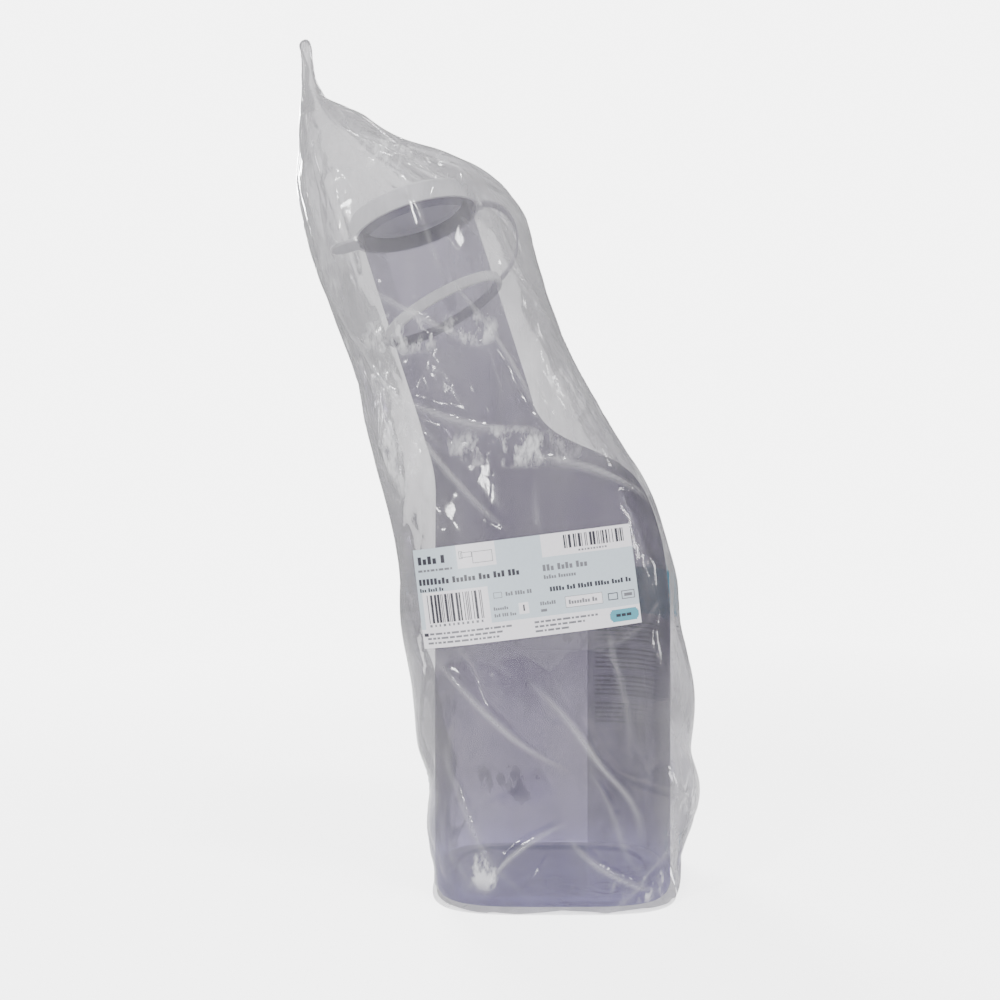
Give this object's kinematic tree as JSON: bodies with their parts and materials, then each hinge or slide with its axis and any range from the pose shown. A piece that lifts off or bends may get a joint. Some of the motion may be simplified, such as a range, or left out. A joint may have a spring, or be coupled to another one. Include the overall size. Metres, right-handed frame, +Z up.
{
  "type": "urine bottle",
  "caption": "Clear ward urine bottle with a leaning round neck and a white tethered snap lid, standing in its clear supply bag with a sticker and a leaflet.",
  "frame": {"origin": "on the resting plane, under the middle of the bottle's base", "axes": "+Z up, X across the bottle with the neck leaning towards -X, the front with the sticker faces -Y"},
  "size_m": [0.1914, 0.1002, 0.408],
  "materials": {
    "clear_plastic": "clear, slightly blue, glossy blow-moulded wall",
    "white_plastic": "milky white, soft sheen",
    "film": "thin clear film, creased and glossy",
    "sticker": null,
    "leaflet": null
  },
  "bodies": {
    "bag": {"bag_film": "film", "bag_bottom": "film", "pack_sticker": "sticker", "leaflet": "leaflet"},
    "bottle": {"bottle_shell": "clear_plastic"},
    "tether": {"neck_ring": "white_plastic", "tether_strap": "white_plastic"},
    "lid": {"lid_cap": "white_plastic"}
  },
  "joints": [
    {"name": "bottle_draw_out", "type": "slide", "parent": "bag", "child": "bottle", "axis": [0, 0, 1], "range_m": [0, 0.42], "deforming": ["bag_film"]},
    {"name": "tether_turn", "type": "hinge", "parent": "bottle", "child": "tether", "pos_m": [-0.0688, 0, 0.3265], "axis": [-0.3057, 0, 0.9521], "range_deg": [-180, 180]},
    {"name": "lid_hinge", "type": "hinge", "parent": "tether", "child": "lid", "pos_m": [-0.03437, 0, 0.32852], "axis": [0, 1, 0], "range_deg": [0, 100]}
  ]
}
